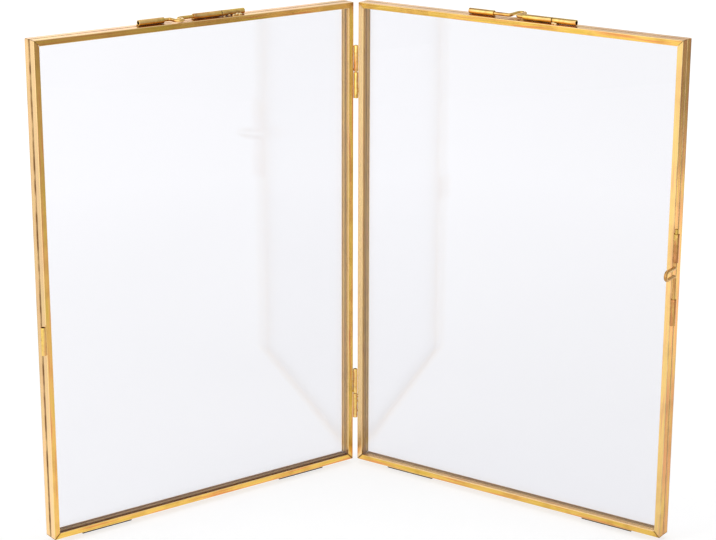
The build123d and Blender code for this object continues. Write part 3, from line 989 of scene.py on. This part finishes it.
# the paper glows for what looks straight at it, through glass or by way of the metal, and keeps its shadow
level = addNode(tree, "ShaderNodeMix", {0: path["Is Transmission Ray"], 2: mirrored, 3: through}).outputs[0]
level = addNode(tree, "ShaderNodeMix", {0: path["Is Camera Ray"], 2: level, 3: stage["glow"]}).outputs[0]
seen = addNode(
    tree, "ShaderNodeMath", {0: path["Is Camera Ray"], 1: path["Is Transmission Ray"]}, operation="MAXIMUM"
).outputs[0]
glossy = addNode(
    tree, "ShaderNodeMath", {0: path["Is Glossy Ray"], 1: stage["farShare"]}, operation="MULTIPLY"
).outputs[0]
share = addNode(tree, "ShaderNodeMix", {0: seen, 2: glossy, 3: share}).outputs[0]
matt = addNode(tree, "ShaderNodeBsdfDiffuse", {"Color": hexColor(stage["paper"])}).outputs[0]
glow = addNode(tree, "ShaderNodeEmission", {"Color": (1, 1, 1, 1), "Strength": level}).outputs[0]
mixed = addNode(tree, "ShaderNodeMixShader", {0: share, 1: matt, 2: glow}).outputs[0]
addNode(tree, "ShaderNodeOutputMaterial", {"Surface": mixed})
sheetMesh.materials.append(paper)

room = bpy.data.worlds.new("whiteRoom")
scene.world = room
room.use_nodes = True
tree = room.node_tree
tree.nodes.clear()
path = addNode(tree, "ShaderNodeLightPath").outputs
way = addNode(tree, "ShaderNodeTexCoord").outputs["Generated"]
ways = addNode(tree, "ShaderNodeSeparateXYZ", {0: way}).outputs
roomLeft, roomRight = stage["roomGlow"]
mirrored = addNode(
    tree, "ShaderNodeMapRange", {0: ways["X"], 1: -0.9, 2: 0.9, 3: roomLeft, 4: roomRight}
).outputs[0]
ground = addNode(
    tree, "ShaderNodeMapRange", {0: ways["Z"], 1: 0.0, 2: -0.25, 3: 1.0, 4: stage["below"]}
).outputs[0]
mirrored = addNode(tree, "ShaderNodeMath", {0: mirrored, 1: ground}, operation="MULTIPLY").outputs[0]
backLeft, backRight = stage["backGlow"]
behind = addNode(
    tree, "ShaderNodeMapRange", {0: ways["X"], 1: -0.1, 2: 0.1, 3: backLeft, 4: backRight}
).outputs[0]
# parts of the room as the metal mirrors them: middle, where the change starts and is whole, and its amount
roomParts = [
    ((0, 0.95, 0.3), 0.6, 0.95, behind),
    ((0, -0.98, -0.2), 0.85, 0.97, stage["frontGlow"]),
    ((-0.85, -0.25, 0.45), 0.8, 0.95, stage["leftGlow"]),
]
for middle, first, last, most in roomParts:
    facing = addNode(
        tree, "ShaderNodeVectorMath", {0: way, 1: Vector(middle).normalized()}, operation="DOT_PRODUCT"
    ).outputs["Value"]
    change = addNode(tree, "ShaderNodeMapRange", {0: facing, 1: first, 2: last, 4: most}).outputs[0]
    mirrored = addNode(tree, "ShaderNodeMath", {0: mirrored, 1: change}, operation="ADD").outputs[0]
# the ceiling above, behind and to the left is dim
dimWay = Vector((-0.5, 0.45, 0.75)).normalized()
above = addNode(
    tree, "ShaderNodeVectorMath", {0: way, 1: dimWay}, operation="DOT_PRODUCT"
).outputs["Value"]
dim = addNode(
    tree, "ShaderNodeMapRange", {0: above, 1: 0.78, 2: 0.9, 3: 1.0, 4: stage["zenith"]}
).outputs[0]
mirrored = addNode(tree, "ShaderNodeMath", {0: mirrored, 1: dim}, operation="MULTIPLY").outputs[0]
lit = addNode(
    tree, "ShaderNodeMix", {0: path["Is Glossy Ray"], 2: stage["ambient"], 3: mirrored}
).outputs[0]
through = addNode(
    tree, "ShaderNodeMapRange", {0: ways["X"], 1: -0.2, 2: 0.2, 3: throughLeft, 4: throughRight}
).outputs[0]
lit = addNode(tree, "ShaderNodeMix", {0: path["Is Transmission Ray"], 2: lit, 3: through}).outputs[0]
lit = addNode(tree, "ShaderNodeMix", {0: path["Is Camera Ray"], 2: lit, 3: 1.0}).outputs[0]
sky = addNode(tree, "ShaderNodeBackground", {"Color": (1, 1, 1, 1), "Strength": lit})
addNode(tree, "ShaderNodeOutputWorld", {"Surface": sky.outputs[0]})

# soft boxes: (place, size, watts), each aimed at the middle of the frame
softBoxes = {
    "overheadBox": ((0.0, 0.1, 0.95), 0.8, 4.5),
    "leftBox": ((-0.85, -0.55, 0.6), 0.6, 3.0),
    "rightFill": ((0.9, -0.4, 0.55), 0.5, 1.0),
}
aim = Vector((0, 0, (cadLow.z + cadHigh.z) / 2))
for name, (spot, size, watts) in softBoxes.items():
    lamp = bpy.data.lights.new(name, "AREA")
    lamp.shape = "SQUARE"
    lamp.size = size
    lamp.energy = watts
    box = bpy.data.objects.new(name, lamp)
    box.location = spot
    box.rotation_euler = (aim - Vector(spot)).to_track_quat("-Z", "Y").to_euler()
    box.visible_camera = False
    box.visible_glossy = False
    box.visible_transmission = False
    scene.collection.objects.link(box)

# camera at the photograph's viewing angle
shot = {"place": (-10.6, -740.6, 319.7), "pitch": 16.971, "yaw": 0.851, "roll": 0.15, "lens": 104.68}
pitch, yaw, roll = (math.radians(shot[key]) for key in ("pitch", "yaw", "roll"))
view = Vector((math.sin(yaw) * math.cos(pitch), math.cos(yaw) * math.cos(pitch), -math.sin(pitch)))
levelRight = Vector((math.cos(yaw), -math.sin(yaw), 0))
levelUp = levelRight.cross(view)
turnedRight = levelRight * math.cos(roll) + levelUp * math.sin(roll)
turnedUp = levelUp * math.cos(roll) - levelRight * math.sin(roll)
eye = bpy.data.cameras.new("camera")
eye.lens = shot["lens"]
eye.sensor_width = 36.0
camera = bpy.data.objects.new("camera", eye)
camera.matrix_world = Matrix((turnedRight, turnedUp, -view)).transposed().to_4x4()
camera.location = Vector(shot["place"]) * mm
scene.collection.objects.link(camera)
scene.camera = camera
scene.view_settings.view_transform = "Standard"
print("stage and camera set")
